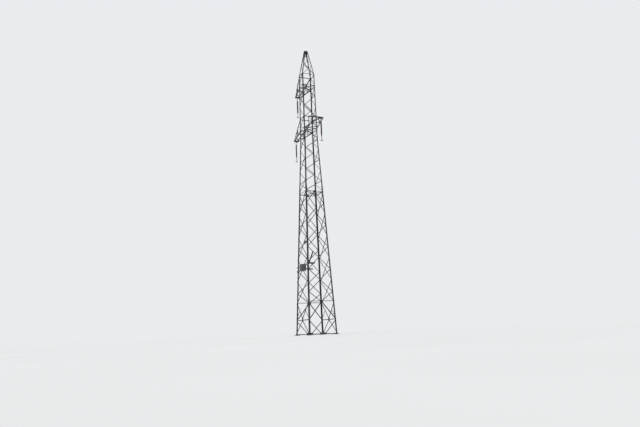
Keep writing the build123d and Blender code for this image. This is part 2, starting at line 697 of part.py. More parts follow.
def slab(e0, e1, u0, u1, n0, n1):
    q = [o + e * e0 + u * u0 + n * n0, o + e * e1 + u * u0 + n * n0, o + e * e1 + u * u1 + n * n0, o + e * e0 + u * u1 + n * n0]
    return prism(q, n * (n1 - n0))


shell = slab(0, BOX_W, 0, BOX_H, 0, BOX_D - 20) - slab(WALL, BOX_W - WALL, WALL, BOX_H - WALL, WALL, BOX_D)
export("equipment_box", list(shell.solids()))
door = slab(-6, BOX_W + 6, -6, BOX_H + 6, BOX_D - 20, BOX_D - 20 + WALL)
export("equipment_box_door", [door])

print("nodes", len(made))
print("axis", AXIS_X, AXIS_Y)
steel = sum(s.volume for n, ss in made.items() for s in ss if "insulator" not in n) * 7.85e-6
print("steel kg", round(steel))
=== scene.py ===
import math
import random

import bpy
import numpy as np
from mathutils import Matrix, Quaternion, Vector


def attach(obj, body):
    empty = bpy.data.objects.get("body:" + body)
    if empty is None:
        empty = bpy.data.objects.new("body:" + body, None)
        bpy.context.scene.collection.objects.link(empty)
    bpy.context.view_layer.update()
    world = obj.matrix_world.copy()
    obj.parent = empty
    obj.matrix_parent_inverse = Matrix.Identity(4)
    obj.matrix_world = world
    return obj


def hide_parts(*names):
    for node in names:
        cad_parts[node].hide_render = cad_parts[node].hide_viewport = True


# Weathered lattice pylon: bolts, splice plates, insulators and small fittings
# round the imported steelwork.  Metres, the row frame.
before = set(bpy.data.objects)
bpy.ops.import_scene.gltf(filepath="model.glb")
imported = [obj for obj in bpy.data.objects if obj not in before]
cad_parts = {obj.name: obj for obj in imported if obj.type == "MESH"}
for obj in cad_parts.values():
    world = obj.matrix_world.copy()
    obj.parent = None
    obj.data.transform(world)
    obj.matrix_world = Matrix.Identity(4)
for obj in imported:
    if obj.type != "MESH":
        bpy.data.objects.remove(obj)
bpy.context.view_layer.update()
rng = random.Random(7)

AX, AY = 1.180, 1.462
HX = [(0.0, 1.240), (17.150, 0.632), (23.410, 0.585), (25.620, 0.170)]
HY = [(0.0, 1.522), (17.150, 0.542), (23.410, 0.450), (25.620, 0.165)]
Z_CROSS, Z_BELT1, Z_BELT2, Z_SPLICE = 1.240, 2.720, 12.190, 12.700
NODES_LR = [2.640, 4.480, 6.375, 8.245, 10.210, 12.100]
NODES_FB = [3.495, 5.395, 7.295, 9.225, 11.130]
LEVELS = [12.190, 13.174, 14.165, 15.165, 16.165, 17.150, 18.100, 19.180, 20.215, 21.250, 22.285, 23.410]
Z_WAIST, Z_HEAD, Z_PEAK = 17.150, 23.410, 25.620
Z_ARM_LOW, Z_ARM_LOW_TOP, Z_ARM_UP = 18.100, 19.180, 22.285
OFF = 0.090
PIVOTS = {1: Vector((1.180, 4.04208, 22.18457)), 2: Vector((1.180, -1.43808, 17.99957)),
          3: Vector((1.180, 4.76208, 17.99957))}
EX, EY, EZ = Vector((1, 0, 0)), Vector((0, 1, 0)), Vector((0, 0, 1))
SHIFT = Vector((AX, AY, 0))


def lin(tab, z):
    for (za, a), (zb, b) in zip(tab, tab[1:]):
        if z <= zb or (zb, b) == tab[-1]:
            return a + (b - a) * (z - za) / (zb - za)


def hx(z):
    return lin(HX, z)


def hy(z):
    return lin(HY, z)


# ------------------------------------------------------------------ materials
def noise(nt, vec, scale, detail=4.0, rough=0.55, dist=0.0):
    n = nt.nodes.new("ShaderNodeTexNoise")
    n.inputs["Scale"].default_value = scale
    n.inputs["Detail"].default_value = detail
    n.inputs["Roughness"].default_value = rough
    n.inputs["Distortion"].default_value = dist
    nt.links.new(vec, n.inputs["Vector"])
    return n.outputs["Fac"]


def ramp(nt, fac, stops):
    r = nt.nodes.new("ShaderNodeValToRGB")
    r.color_ramp.elements[0].position = stops[0][0]
    r.color_ramp.elements[0].color = (*stops[0][1], 1)
    r.color_ramp.elements[1].position = stops[-1][0]
    r.color_ramp.elements[1].color = (*stops[-1][1], 1)
    for p, c in stops[1:-1]:
        e = r.color_ramp.elements.new(p)
        e.color = (*c, 1)
    nt.links.new(fac, r.inputs["Fac"])
    return r.outputs["Color"]


def mix(nt, fac, a, b, mode="MIX"):
    m = nt.nodes.new("ShaderNodeMix")
    m.data_type = "RGBA"
    m.blend_type = mode
    for sock, val in ((m.inputs["Factor"], fac), (m.inputs["A"], a), (m.inputs["B"], b)):
        if isinstance(val, (int, float)):
            sock.default_value = val
        elif isinstance(val, tuple):
            sock.default_value = (*val, 1)
        else:
            nt.links.new(val, sock)
    return m.outputs["Result"]


def mapping(nt, vec, scale):
    m = nt.nodes.new("ShaderNodeMapping")
    m.inputs["Scale"].default_value = scale
    nt.links.new(vec, m.inputs["Vector"])
    return m.outputs["Vector"]


def spread(nt, fac, lo, hi):
    m = nt.nodes.new("ShaderNodeMapRange")
    m.inputs["To Min"].default_value = lo
    m.inputs["To Max"].default_value = hi
    nt.links.new(fac, m.inputs["Value"])
    return m.outputs["Result"]


def material(name):
    m = bpy.data.materials.new(name)
    m.use_nodes = True
    nt = m.node_tree
    nt.nodes.clear()
    out = nt.nodes.new("ShaderNodeOutputMaterial")
    bs = nt.nodes.new("ShaderNodeBsdfPrincipled")
    nt.links.new(bs.outputs["BSDF"], out.inputs["Surface"])
    tc = nt.nodes.new("ShaderNodeTexCoord")
    return m, nt, bs, tc.outputs["Object"]


def bump(nt, bs, height, strength, dist):
    b = nt.nodes.new("ShaderNodeBump")
    b.inputs["Strength"].default_value = strength
    b.inputs["Distance"].default_value = dist
    nt.links.new(height, b.inputs["Height"])
    nt.links.new(b.outputs["Normal"], bs.inputs["Normal"])


def steel(name, light, dark, rust, metallic=0.55, rust_at=0.62):
    """Dull weathered zinc with base tones kept near black: partly the zinc's own dull grey, partly painted shade so
    the lattice reads as a dark silhouette. Large and small blotches, pale bloom, faint spangle, dark streaks down the
    bars and brown where water stands."""
    m, nt, bs, obj = material(name)
    mid = tuple((a + b) / 2 for a, b in zip(light, dark))
    col = ramp(nt, noise(nt, obj, 1.3, 6, 0.66, 0.4), [(0.34, dark), (0.50, mid), (0.66, light)])
    bloom = noise(nt, mapping(nt, obj, (1.0, 1.0, 0.6)), 6.5, 8, 0.72, 0.8)
    pale = tuple(min(1.0, 1.9 * c + 0.02) for c in light)
    col = mix(nt, ramp(nt, bloom, [(0.54, (0, 0, 0)), (0.70, (0.50, 0.50, 0.50))]), col, pale)
    v = nt.nodes.new("ShaderNodeTexVoronoi")
    v.inputs["Scale"].default_value = 46.0
    nt.links.new(obj, v.inputs["Vector"])
    bw = nt.nodes.new("ShaderNodeRGBToBW")
    nt.links.new(v.outputs["Color"], bw.inputs["Color"])
    spangle = spread(nt, bw.outputs["Val"], 0.74, 1.16)
    grey = nt.nodes.new("ShaderNodeCombineColor")
    for k in ("Red", "Green", "Blue"):
        nt.links.new(spangle, grey.inputs[k])
    col = mix(nt, 1.0, col, grey.outputs["Color"], "MULTIPLY")
    streak = noise(nt, mapping(nt, obj, (14.0, 14.0, 0.45)), 2.2, 6, 0.62)
    col = mix(nt, ramp(nt, streak, [(0.47, (0, 0, 0)), (0.66, (0.75, 0.75, 0.75))]), col, tuple(0.42 * c for c in dark))
    r = noise(nt, mapping(nt, obj, (3.2, 3.2, 1.0)), 1.5, 8, 0.74, 0.9)
    rust_in = ramp(nt, r, [(rust_at - 0.05, (0, 0, 0)), (rust_at + 0.08, (0.80, 0.80, 0.80))])
    fine = ramp(nt, noise(nt, obj, 38.0, 6, 0.7), [(0.30, rust), (0.72, tuple(min(1.0, 1.9 * c) for c in rust))])
    col = mix(nt, rust_in, col, fine)
    nt.links.new(col, bs.inputs["Base Color"])
    bs.inputs["Metallic"].default_value = metallic
    nt.links.new(spread(nt, noise(nt, obj, 9.0, 5, 0.6), 0.40, 0.80), bs.inputs["Roughness"])
    bump(nt, bs, noise(nt, obj, 150.0, 4, 0.65), 0.25, 0.002)
    return m


# steel tones kept near black: partly weathered zinc, partly painted shade so the lattice reads as a dark silhouette
STEEL = steel("weathered_zinc", (0.086, 0.089, 0.091), (0.030, 0.0315, 0.033), (0.054, 0.031, 0.019))
STEEL_LEG = steel("weathered_zinc_legs", (0.070, 0.072, 0.074), (0.024, 0.0255, 0.027), (0.048, 0.028, 0.018), rust_at=0.64)
BOLTS = steel("zinc_bolts", (0.112, 0.110, 0.105), (0.038, 0.036, 0.034), (0.080, 0.038, 0.020), 0.6, 0.56)
FORGED = steel("weathered_forgings", (0.066, 0.066, 0.068), (0.025, 0.025, 0.027), (0.056, 0.030, 0.018), 0.65, 0.60)


def porcelain():
    m, nt, bs, obj = material("brown_glaze")
    n = noise(nt, obj, 14.0, 4, 0.5)
    col = ramp(nt, n, [(0.30, (0.030, 0.0105, 0.0062)), (0.55, (0.052, 0.018, 0.0095)), (0.75, (0.078, 0.029, 0.015))])
    dust = noise(nt, mapping(nt, obj, (6.0, 6.0, 2.0)), 3.0, 6, 0.7)
    col = mix(nt, ramp(nt, dust, [(0.52, (0, 0, 0)), (0.80, (0.30, 0.30, 0.30))]), col, (0.11, 0.10, 0.085))
    nt.links.new(col, bs.inputs["Base Color"])
    nt.links.new(spread(nt, dust, 0.14, 0.42), bs.inputs["Roughness"])
    bs.inputs["Coat Weight"].default_value = 0.6
    bs.inputs["Coat Roughness"].default_value = 0.12
    bump(nt, bs, noise(nt, obj, 60.0, 3, 0.5), 0.10, 0.001)
    return m


def paint():
    m, nt, bs, obj = material("weathered_grey_paint")
    n = noise(nt, obj, 5.0, 6, 0.65, 0.4)
    col = ramp(nt, n, [(0.28, (0.034, 0.036, 0.038)), (0.55, (0.052, 0.056, 0.058)), (0.78, (0.074, 0.078, 0.078))])
    streak = noise(nt, mapping(nt, obj, (26.0, 26.0, 1.2)), 2.0, 5, 0.6)
    col = mix(nt, ramp(nt, streak, [(0.50, (0, 0, 0)), (0.75, (0.6, 0.6, 0.6))]), col, (0.022, 0.022, 0.020))
    chips = noise(nt, obj, 24.0, 6, 0.7, 0.8)
    col = mix(nt, ramp(nt, chips, [(0.66, (0, 0, 0)), (0.72, (0.9, 0.9, 0.9))]), col, (0.056, 0.028, 0.016))
    nt.links.new(col, bs.inputs["Base Color"])
    bs.inputs["Metallic"].default_value = 0.0
    nt.links.new(spread(nt, n, 0.48, 0.74), bs.inputs["Roughness"])
    bump(nt, bs, noise(nt, obj, 80.0, 4, 0.6), 0.12, 0.0015)
    return m


def cement():
    m, nt, bs, obj = material("cement")
    n = noise(nt, obj, 60.0, 6, 0.7)
    nt.links.new(ramp(nt, n, [(0.3, (0.14, 0.135, 0.12)), (0.7, (0.26, 0.25, 0.23))]), bs.inputs["Base Color"])
    nt.links.new(spread(nt, n, 0.8, 0.97), bs.inputs["Roughness"])
    bump(nt, bs, n, 0.4, 0.001)
    return m


PORCELAIN, PAINT, CEMENT = porcelain(), paint(), cement()
for name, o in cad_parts.items():
    if name.endswith("_legs") or name == "base_plates":
        m = STEEL_LEG
    elif "insulator" in name:
        m = PORCELAIN
    elif name in ("equipment_box", "equipment_box_door", "junction_box"):
        m = PAINT
    elif "shackle" in name or "fittings" in name or name == "earth_wire_clamp":
        m = FORGED
    else:
        m = STEEL
    o.data.materials.clear()
    o.data.materials.append(m)


# ------------------------------------------------------------------ mesh code
def lathe(profile, sides, phase=0.0):
    """Closed turned shape along +Z from (radius, height) points."""
    verts, faces = [], []
    rings = []
    for r, z in profile:
        ring = []
        for i in range(sides):
            a = phase + 2 * math.pi * i / sides
            ring.append(len(verts))
            verts.append((r * math.cos(a), r * math.sin(a), z))
        rings.append(ring)
    for a, b in zip(rings, rings[1:]):
        for i in range(sides):
            j = (i + 1) % sides
            faces.append((a[i], a[j], b[j], b[i]))
    faces.append(tuple(reversed(rings[0])))
    faces.append(tuple(rings[-1]))
    return np.array(verts), faces


class Acc:
    """Many small shapes gathered into one mesh."""

    def __init__(self):
        self.v, self.f, self.n, self.sm = [], [], 0, []

    def add(self, verts, faces, mat=None, smooth=False):
        v = np.asarray(verts, float)
        if mat is not None:
            m = np.array(mat)
            v = v @ m[:3, :3].T + m[:3, 3]
        self.v.append(v)
        self.f += [tuple(i + self.n for i in f) for f in faces]
        self.sm += [smooth] * len(faces)
        self.n += len(v)

    def prism(self, pts, vec):
        k = len(pts)
        v = [tuple(p) for p in pts] + [tuple(p + vec) for p in pts]
        # outward winding
        c = sum(pts, Vector()) / k
        nrm = Vector()
        for i in range(k):
            nrm += (pts[i] - c).cross(pts[(i + 1) % k] - c)
        idx = list(range(k)) if nrm.dot(vec) < 0 else list(reversed(range(k)))
        faces = [tuple(idx), tuple(i + k for i in reversed(idx))]
        for a, b in zip(idx, idx[1:] + idx[:1]):
            faces.append((b, a, a + k, b + k))
        self.add(v, faces)

    def block(self, o, a, b, c):
        self.prism([o, o + a, o + a + b, o + b], c)

    def object(self, name, body, mat, slot=None):
        me = bpy.data.meshes.new(name)
        me.from_pydata(np.concatenate(self.v).tolist(), [], self.f)
        me.polygons.foreach_set("use_smooth", self.sm)
        me.update()
        me.materials.append(mat)
        o = bpy.data.objects.new(name, me)
        bpy.context.scene.collection.objects.link(o)
        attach(o, body)
        return o


def frame_at(p, z, spin=0.0):
    """Matrix that puts +Z along z at p."""
    q = z.normalized().to_track_quat("Z", "Y") @ Quaternion((0, 0, 1), spin)
    return Matrix.LocRotScale(p, q, Vector((1, 1, 1)))


def hexagon(af, h, both=False):
    r = af / math.sqrt(3)
    p = [(r, 0.0), (r, h * 0.80), (r * 0.87, h)]
    if both:
        p = [(r * 0.87, 0.0), (r, h * 0.16), (r, h * 0.84), (r * 0.87, h)]
    return lathe(p, 6)


SIZES = {  # bolt: across flats, head, nut, washer radius, shank radius
    16: (0.024, 0.010, 0.013, 0.0150, 0.008),
    20: (0.030, 0.0125, 0.016, 0.0185, 0.010),
    12: (0.018, 0.0075, 0.010, 0.0120, 0.006),
    30: (0.046, 0.019, 0.024, 0.0290, 0.015),
}
TPL = {}
for d, (af, hh, nh, wr, sr) in SIZES.items():
    TPL[d] = {
        "washer": lathe([(wr - 0.0006, 0.0), (wr, 0.0008), (wr, 0.0024), (wr - 0.0006, 0.003)], 16),
        "head": hexagon(af, hh),
        "nut": hexagon(af, nh, True),
        "end": lathe([(sr, 0.0), (sr, 0.42 * sr + 0.004), (sr * 0.8, 0.62 * sr + 0.004)], 10),
    }


def head(acc, p, z, d=16):
    t = TPL[d]
    acc.add(*t["washer"], frame_at(p, z))
    acc.add(*t["head"], frame_at(p + z * 0.003, z, rng.uniform(0, 1.05)))


def nut(acc, p, z, d=16, twice=False):
    t = TPL[d]
    nh = SIZES[d][2]
    acc.add(*t["washer"], frame_at(p, z))
    q = p + z * 0.003
    acc.add(*t["nut"], frame_at(q, z, rng.uniform(0, 1.05)))
    q = q + z * nh
    if twice:
        acc.add(*t["nut"], frame_at(q, z, rng.uniform(0, 1.05)))
        q = q + z * nh
    acc.add(*t["end"], frame_at(q, z), smooth=False)


def bolt(acc, p_out, p_in, d=16):
    z = (p_out - p_in).normalized()
    head(acc, p_out, z, d)
    nut(acc, p_in, -z, d)


# ------------------------------------------------------------- sides and bars
FACES = {
    "front": (EX, -EY, hx, hy), "right": (EY, EX, hy, hx),
    "back": (-EX, EY, hx, hy), "left": (-EY, -EX, hy, hx),
}


class Side:
    def __init__(self, name, za, zb):
        self.es, self.eo, self.half, dist = FACES[name]
        self.za, self.zb, self.da, self.db = za, zb, dist(za), dist(zb)
        k = (self.da - self.db) / (zb - za)
        c = math.sqrt(1 + k * k)
        self.n = (self.eo + EZ * k) * (1 / c)
        self.up = (EZ - self.eo * k) * (1 / c)
        self.cos = 1 / c
        self.joints = {}

    def at(self, s, z, n=0.0):
        d = self.da + (self.db - self.da) * (z - self.za) / (self.zb - self.za)
        return self.es * s + self.eo * d + EZ * z + self.n * n + SHIFT

    def mark(self, s, z, where, t, t_leg):
        """One bolt through everything that meets at (s, z)."""
        key = (round(s, 3), round(z, 3))
        j = self.joints.setdefault(key, {"out": 0.0, "in": 0.0, "leg": t_leg})
        if where in ("out", "in"):
            j[where] = max(j[where], t)

    def bar(self, a, b, where, t, t_leg, na=1, nb=1, step=0.05):
        (x1, z1), (x2, z2) = a, b
        l = math.hypot(x2 - x1, z2 - z1)
        ux, uz = (x2 - x1) / l * step, (z2 - z1) / l * step
        for i in range(na):
            self.mark(x1 + ux * i, z1 + uz * i, where, t, t_leg)
        for i in range(nb):
            self.mark(x2 - ux * i, z2 - uz * i, where, t, t_leg)

    def bolts(self, acc, d=16):
        for (s, z), j in self.joints.items():
            bolt(acc, self.at(s, z, j["out"]), self.at(s, z, -j["leg"] * self.cos - j["in"]), d)

    def cross(self, a, b, c, d):
        x1, y1, x2, y2 = *a, *b
        x3, y3, x4, y4 = *c, *d
        den = (x1 - x2) * (y3 - y4) - (y1 - y2) * (x3 - x4)
        px = ((x1 * y2 - y1 * x2) * (x3 - x4) - (x1 - x2) * (x3 * y4 - y3 * x4)) / den
        py = ((x1 * y2 - y1 * x2) * (y3 - y4) - (y1 - y2) * (x3 * y4 - y3 * x4)) / den
        return px, py


G_LOW, G_UP, G_HEAD, G_PEAK = 0.062, 0.052, 0.048, 0.040


def x_panels(f, nodes, t, tl):
    for za, zb in zip(nodes, nodes[1:]):
        sa, sb = f.half(za) - G_LOW, f.half(zb) - G_LOW
        a, b, c, d = (-sa, za), (sb, zb), (sa, za), (-sb, zb)
        f.bar(a, b, "out", t, tl)
        f.bar(c, d, "in", t, tl)
        x = f.cross(a, b, c, d)
        f.mark(*x, "out", t, tl)
        f.mark(*x, "in", t, tl)


def belt(f, z, t, tl, mid=()):
    s = f.half(z)
    for sg in (-1, 1):
        for e in (0.040, 0.088):
            f.mark(sg * (s - e), z, "out", t, tl)
    for m in mid:
        f.mark(m, z, "out", t, tl)


for name in FACES:
    f = Side(name, 0.0, Z_WAIST)
    tl, t = 0.012, 0.006
    acc = Acc()
    x_panels(f, NODES_LR if name in ("left", "right") else NODES_FB, t, tl)
    if name in ("left", "right"):
        st, sf = f.half(2.590) - G_LOW, f.half(0.115) - G_LOW
        m = ((0.045 + st) / 2, (Z_CROSS + 0.105 + 2.590) / 2)
        sr = f.half(1.4) - G_LOW
        belt(f, Z_CROSS, t, tl, (-0.1, 0.0, 0.1))
        belt(f, Z_BELT2, 0.005, tl)
        f.bar((0.045, Z_CROSS + 0.105), (st, 2.590), "out", t, tl, 2, 1)
        f.bar((-0.045, Z_CROSS + 0.105), (-st, 2.590), "in", t, tl, 2, 1)
        f.bar((-0.045, Z_CROSS - 0.095), (-sf, 0.115), "out", t, tl, 2, 1)
        f.bar((0.045, Z_CROSS - 0.095), (sf, 0.115), "in", t, tl, 2, 1)
        for sg, a, b in ((1, "in", "out"), (-1, "out", "in")):
            f.mark(sg * sr, 1.4, a, 0.005, tl)
            f.mark(sg * m[0], m[1], a, 0.005, tl)
            f.mark(sg * m[0], m[1], b, t, tl)
    else:
        s1, s2 = f.half(1.280) - G_LOW, f.half(1.135) - G_LOW
        sb, za, zt = f.half(0.075), NODES_FB[0], NODES_FB[-1]
        sa, st = f.half(za) - G_LOW, f.half(zt) - G_LOW
        f.bar((-0.040, 2.610), (-s1, 1.280), "in", t, tl, 2, 1)
        f.bar((0.040, 2.610), (s1, 1.280), "out", t, tl, 2, 1)
        f.bar((-0.226, 0.145), (-s2, 1.135), "out", t, tl, 2, 1)
        f.bar((0.226, 0.145), (s2, 1.135), "in", t, tl, 2, 1)
        for s in (-(sb - 0.105), sb - 0.050, sb - 0.095, -0.13, 0.0, 0.13):
            f.mark(s, 0.075, "in", t, tl)
        belt(f, Z_BELT1, 0.005, tl, (-0.035, 0.035))
        f.bar((0.080, Z_BELT1 + 0.020), (sa, za), "out", t, tl, 2, 1)
        f.bar((-0.080, Z_BELT1 + 0.020), (-sa, za), "in", t, tl, 2, 1)
        belt(f, Z_BELT2, 0.005, tl, (-0.1, 0.0, 0.1))
        f.bar((-0.085, Z_BELT2 - 0.095), (-st, zt), "out", t, tl, 2, 1)
        f.bar((0.085, Z_BELT2 - 0.095), (st, zt), "in", t, tl, 2, 1)
    f.bolts(acc)
    acc.object(f"{name}_lower_bolts", "tower", BOLTS, "galvanised_steel")


def zigzag(f, levels, first, gauge, t, tl, belts, skip=(), low_leg=None):
    for i in range(len(levels) - 1):
        k = first + i
        if k in skip:
            continue
        za, zb = levels[i], levels[i + 1]
        za += OFF if k in belts else 0
        zb -= OFF if k + 1 in belts else 0
        sa, sb = f.half(za) - gauge, f.half(zb) - gauge
        ta = low_leg if (low_leg and i == 0) else tl
        if k % 2 == 0:
            f.mark(-sa, za, "out", t, ta)
            f.mark(sb, zb, "out", t, tl)
        else:
            f.mark(sa, za, "in", t, ta)
            f.mark(-sb, zb, "in", t, tl)


upper = Acc()
for name in FACES:
    f = Side(name, 0.0, Z_WAIST)
    zigzag(f, LEVELS[:6], 0, G_UP, 0.005, 0.010, {0, 5}, low_leg=0.012)
    f.bolts(upper)
upper.object("upper_bolts", "tower", BOLTS, "galvanised_steel")

heads = Acc()
for name in FACES:
    f = Side(name, Z_WAIST, Z_HEAD)
    low, up_arm = name in ("front", "back"), name == "back"
    skip = {6, 10} if low else ()
    zigzag(f, LEVELS[5:], 5, G_HEAD, 0.005, 0.008, {5, 6, 7, 10, 11}, skip)
    rails = [] if low else [(Z_WAIST + 0.035, False)]
    rails += [(Z_ARM_LOW, low), (Z_ARM_LOW_TOP, low), (Z_ARM_UP, up_arm), (Z_HEAD - 0.045, up_arm)]
    for z, arm_side in rails:
        for sg in (-1, 1):
            if arm_side:
                f.mark(sg * (f.half(z) - 0.150), z, "in", 0.005, 0.0)
            else:
                f.mark(sg * (f.half(z) - 0.048), z, "out", 0.005, 0.008)
    for key in [k for k, j in f.joints.items() if j["leg"] == 0.0]:
        del f.joints[key]
    f.bolts(heads)
heads.object("head_bolts", "tower", BOLTS, "galvanised_steel")

peak = Acc()
for name in FACES:
    f = Side(name, Z_HEAD, Z_PEAK)
    z_p1 = 24.340 if name in ("front", "back") else 24.500
    zigzag(f, [Z_HEAD, z_p1, 24.970], 11, G_PEAK, 0.005, 0.006, {11})
    f.bolts(peak)
    if name in ("front", "back"):
        for sg in (-1, 1):
            for z in (Z_PEAK - 0.510, Z_PEAK - 0.380, Z_PEAK - 0.250, Z_PEAK - 0.120):
                s = sg * (f.half(z) - 0.038)
                bolt(peak, f.at(s, z, 0.008), f.at(s, z, -0.006 * f.cos))
peak.object("peak_bolts", "tower", BOLTS, "galvanised_steel")

# ------------------------------------------------------------ splices of legs
plates, sp_bolts = Acc(), Acc()
for name in FACES:
    f = Side(name, 0.0, Z_WAIST)
    for sg in (-1, 1):
        for z0, z1, w, n0 in ((Z_SPLICE - 0.27, Z_SPLICE + 0.27, 0.080, 0.0),):
            sa, sb = f.half(z0) - 0.010, f.half(z1) - 0.010
            pts = [f.at(sg * sa, z0), f.at(sg * (sa - w), z0), f.at(sg * (sb - w), z1), f.at(sg * sb, z1)]
            plates.prism(pts, f.n * 0.010)
            for i in range(6):
                z = z0 + 0.045 + i * (z1 - z0 - 0.09) / 5
                s = f.half(z) - (0.032 if i % 2 else 0.066)
                tl = 0.012 if z < Z_SPLICE else 0.010
                bolt(sp_bolts, f.at(sg * s, z, 0.010), f.at(sg * s, z, -tl * f.cos), 20)
plates.object("leg_splice_plates", "tower", STEEL_LEG, "galvanised_steel")
sp_bolts.object("leg_splice_bolts", "tower", BOLTS, "galvanised_steel")

# ---------------------------------------------------------------- plan bracing
pb = Acc()
for z, start in ((Z_BELT2 - 0.028, 0.080), (Z_ARM_LOW + 0.030, 0.082), (Z_ARM_UP + 0.030, 0.082)):
    for sx, sy in ((-1, -1), (1, 1), (1, -1), (-1, 1)):
        c = Vector((sx * (hx(z) - start), sy * (hy(z) - start), z)) + SHIFT
        d = (Vector((-sx * hx(z), -sy * hy(z), 0))).normalized()
        under = sx * sy < 0
        for e in (0.020,):
            p = c + d * e
            if under:
                bolt(pb, p + EZ * 0.008, p - EZ * 0.005, 16)
            else:
                bolt(pb, p + EZ * 0.013, p, 16)
    bolt(pb, Vector((AX, AY, z + 0.013)), Vector((AX, AY, z - 0.005)), 16)
pb.object("plan_bolts", "tower", BOLTS, "galvanised_steel")


# ------------------------------------------------------------------ cross-arms
def arm(tag, face, z_low, z_top, reach):
    f = Side(face, Z_WAIST, Z_HEAD)
    es, eo, up, n = f.es, f.eo, f.up, f.n
    w, t, cleat, half_tip = 0.070, 0.007, 0.008, 0.200
    z0, z1 = z_low - w / 2, z_top + w / 2
    tip_n = (reach - 0.031 - (f.at(0, z0, cleat) - SHIFT).dot(eo)) * n.dot(eo)
    root = f.half(z_top) - 0.012
    acc = Acc()
    ends = {}
    for sg in (-1, 1):
        a = f.at(sg * root, z0, cleat)
        b = f.at(sg * half_tip, z0, cleat + tip_n)
        b = b - up * ((b.z - a.z) / up.z)
        c = f.at(sg * root, z1, cleat)
        d = b + up * (2 * w + 0.008)
        ends[sg] = (a, b, c, d)
        for o, v in ((a, up), (c, -up)):
            p = o - es * (sg * 0.044) + v * 0.044
            bolt(acc, p, p - n * (cleat + 0.013), 20)
        # chord ends on the tip channel
        for o, v in ((b, up), (d, -up)):
            p = o - es * (sg * 0.044) + v * 0.044
            bolt(acc, p + n * 0.009, p, 20)

    def low(sg, k):
        a, b = ends[sg][:2]
        return a + (b - a) * k

    def high(sg, k):
        c, d = ends[sg][2:]
        return c + (d - c) * k

    ks = [0.05, 0.28, 0.50, 0.71, 0.90]
    for i in range(4):
        sa = -1 if i % 2 == 0 else 1
        m = 0.038 if i % 2 == 0 else 0.046
        for p in (low(sa, ks[i]) - es * (sa * m), low(-sa, ks[i + 1]) + es * (sa * m)):
            if i % 2 == 0:
                bolt(acc, p + up * t, p - up * 0.005, 12)
            else:
                bolt(acc, p + up * (t + 0.005), p, 12)
    for sg in (-1, 1):
        a, b, c, d = ends[sg]
        out = (b - a).cross(up).normalized()
        if out.dot(es) * sg < 0:
            out = -out
        for k in (0.34, 0.62):
            for p in (low(sg, k) + up * 0.035, high(sg, k) - up * 0.035):
                bolt(acc, p + out * 0.005, p - out * t, 12)
        for p in (high(sg, 0.37) - up * 0.042, low(sg, 0.58) + up * 0.042):
            bolt(acc, p, p - out * (t + 0.005), 12)
    flat = es.cross(ends[1][3] - ends[1][2]).normalized()
    flat = flat if flat.z > 0 else -flat
    for k in (0.34, 0.62):
        for sg in (-1, 1):
            p = high(sg, k) - es * (sg * 0.034)
            bolt(acc, p + flat * 0.005, p - flat * t, 12)
    acc.object(f"{tag}_bolts", "tower", BOLTS, "galvanised_steel")


arm("upper_arm", "back", Z_ARM_UP, Z_HEAD - 0.050, 2.580)
arm("near_arm", "front", Z_ARM_LOW, Z_ARM_LOW_TOP, 2.900)
arm("far_arm", "back", Z_ARM_LOW, Z_ARM_LOW_TOP, 3.300)

# ------------------------------------------------------------------ base bolts
anchors = Acc()
for fx in (0.0, 2.36):
    for fy in (0.0, 2.924):
        for dx in (-0.14, 0.14):
            for dy in (-0.14, 0.14):
                p = Vector((fx + dx, fy + dy, 0.025))
                nut(anchors, p, EZ, 30, True)
anchors.object("anchor_nuts", "tower", BOLTS, "galvanised_steel")


# ---------------------------------------------------------------- insulators
def turned(profile, sides):
    v, f = lathe(profile, sides)
    return v, f


def arc(cx, cy, r, a0, a1, n):
    """Points of an arc in degrees, ends included."""
    return [(cx + r * math.cos(math.radians(a0 + (a1 - a0) * i / n)),
             cy + r * math.sin(math.radians(a0 + (a1 - a0) * i / n))) for i in range(n + 1)]


def flat(acc, pts, o, ua, ub, un, n0, n1):
    """Flat shape of (a, b) points, between two levels along un."""
    acc.prism([o + ua * a + ub * b + un * n0 for a, b in pts], un * (n1 - n0))


def link(r, top, bottom):
    """Outline of a flat link with round ends; top and bottom are the eyes."""
    return arc(0, top, r, 0, 180, 12) + arc(0, bottom, r, 180, 360, 12)


def fork(r, w, gap, end, bend):
    """Outline of a fork from its eyes (level 0) down to its bend."""
    return ([(-w, 0.0)] + arc(-w + bend, end + bend, bend, 180, 270, 6) + arc(w - bend, end + bend, bend, 270, 360, 6)
            + [(w, 0.0), (gap, 0.0)] + arc(0, end + (w - gap) + gap, gap, 0, -180, 10) + [(-gap, 0.0)])


def rod(acc, p, q, r, sides=16):
    v, f = lathe([(r, 0.0), (r, (q - p).length)], sides)
    acc.add(v, f, frame_at(p, q - p), smooth=False)


def loft(acc, sections, o):
    """Closed skin through rings of equal count, capped at both ends."""
    n = len(sections[0])
    verts = [tuple(o + Vector(p)) for ring in sections for p in ring]
    faces = []
    for i in range(len(sections) - 1):
        for j in range(n):
            k = (j + 1) % n
            faces.append((i * n + j, i * n + k, (i + 1) * n + k, (i + 1) * n + j))
    faces.append(tuple(reversed(range(n))))
    faces.append(tuple((len(sections) - 1) * n + j for j in range(n)))
    acc.add(verts, faces)


